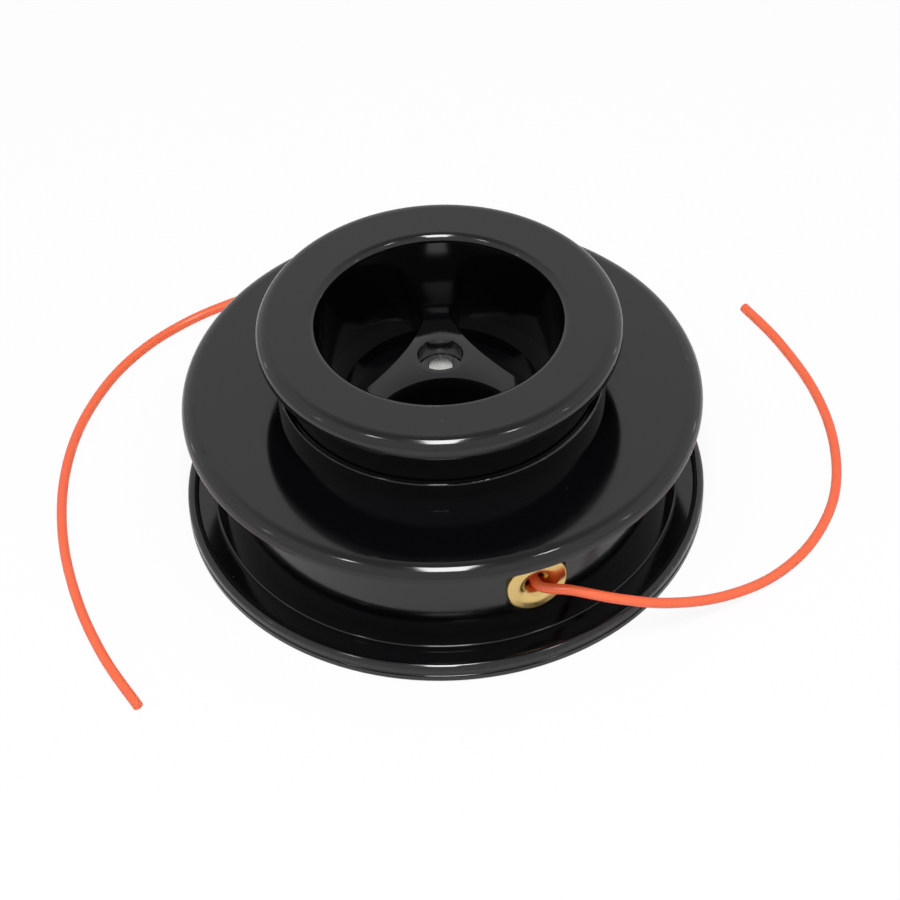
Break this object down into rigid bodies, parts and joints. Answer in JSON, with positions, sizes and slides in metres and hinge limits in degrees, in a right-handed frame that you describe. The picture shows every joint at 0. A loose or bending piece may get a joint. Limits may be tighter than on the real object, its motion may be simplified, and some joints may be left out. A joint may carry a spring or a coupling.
{
  "type": "trimmer head",
  "caption": "Round tap-feed line head for a grass trimmer, with a drum between two flanges, a tap knob on top, brass eyelets and curved cutting-line tails.",
  "frame": {"origin": "on the head's axis, on the surface that the lower flange stands on", "axes": "+Z along the axis, from the gearbox side up to the tap knob; -Y is the side with the eyelet that the picture shows; +X to the right in the picture"},
  "size_m": [0.1875, 0.1314, 0.0542],
  "materials": {
    "black_nylon": "glossy moulded",
    "spool_nylon": "moulded",
    "orange_line": "extruded, slightly translucent",
    "brass": "turned",
    "zinc_steel": "bright zinc",
    "spring_steel": "drawn wire"
  },
  "bodies": {
    "casing": {"base_plate": "black_nylon", "arbor_nut": "zinc_steel", "drum_cover": "black_nylon", "eyelet_front": "brass", "eyelet_rear": "brass", "compression_spring": "spring_steel", "line_tail_front": "orange_line", "line_tail_rear": "orange_line"},
    "spring_seat": {"thrust_washer": "zinc_steel"},
    "spool_and_knob": {"spool": "spool_nylon", "wound_line_upper": "orange_line", "wound_line_lower": "orange_line", "knob": "black_nylon", "knob_nut": "zinc_steel", "knob_bolt": "zinc_steel", "bolt_washer": "zinc_steel"}
  },
  "joints": [
    {"name": "tap_slide", "type": "slide", "parent": "casing", "child": "spring_seat", "axis": [0, 0, 1], "range_m": [-0.006, 0], "stiffness_N_per_m": 2500, "springref_m": 0.004, "deforming": ["compression_spring"]},
    {"name": "spool_turn", "type": "hinge", "parent": "spring_seat", "child": "spool_and_knob", "pos_m": [0, 0, 0], "axis": [0, 0, 1], "continuous": true}
  ]
}
